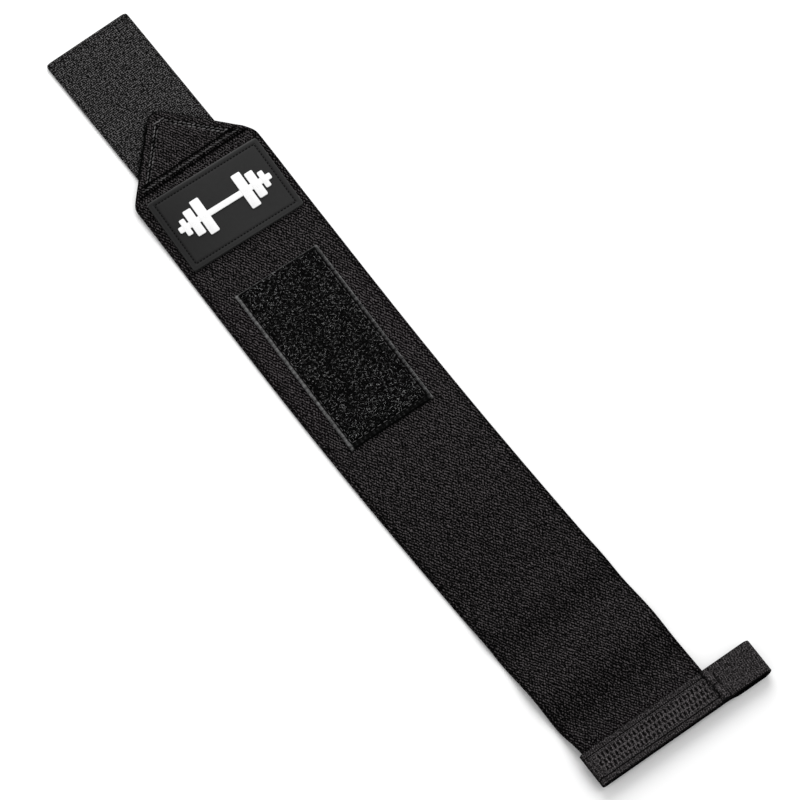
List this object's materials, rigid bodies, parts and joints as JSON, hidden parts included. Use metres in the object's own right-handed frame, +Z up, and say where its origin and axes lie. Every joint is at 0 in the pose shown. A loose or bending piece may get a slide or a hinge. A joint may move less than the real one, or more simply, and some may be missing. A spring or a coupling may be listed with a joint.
{
  "type": "wrist wrap",
  "caption": "Elastic wrist wrap laid out straight, with a hook tab under its pointed end, a rubber label, a loop patch and a thumb loop across the other end.",
  "frame": {"origin": "on the table under the middle of the whole wrap's box", "axes": "+X runs along the wrap from the hook tab to the thumb loop, +Y across it towards the side where the thumb loop stands out, +Z up, out of the face with the label and the loop patch"},
  "size_m": [0.486, 0.1062, 0.0084],
  "materials": {
    "strap_elastic": "black woven elastic with raised nubs in slanting rows",
    "hook_tape": "black ribbed tape backing, moulded hooks underneath",
    "label_rubber": "dark grey matt moulded rubber",
    "emblem_rubber": "white matt moulded rubber",
    "loop_tape": "black brushed loop pile between woven selvedges",
    "band_elastic": "black fine ribbed elastic"
  },
  "bodies": {
    "root": {"wrap_strap": "strap_elastic", "hook_tab": "hook_tape", "rubber_label": "label_rubber", "label_emblem": "emblem_rubber", "loop_patch": "loop_tape", "thumb_loop": "band_elastic"}
  },
  "joints": []
}
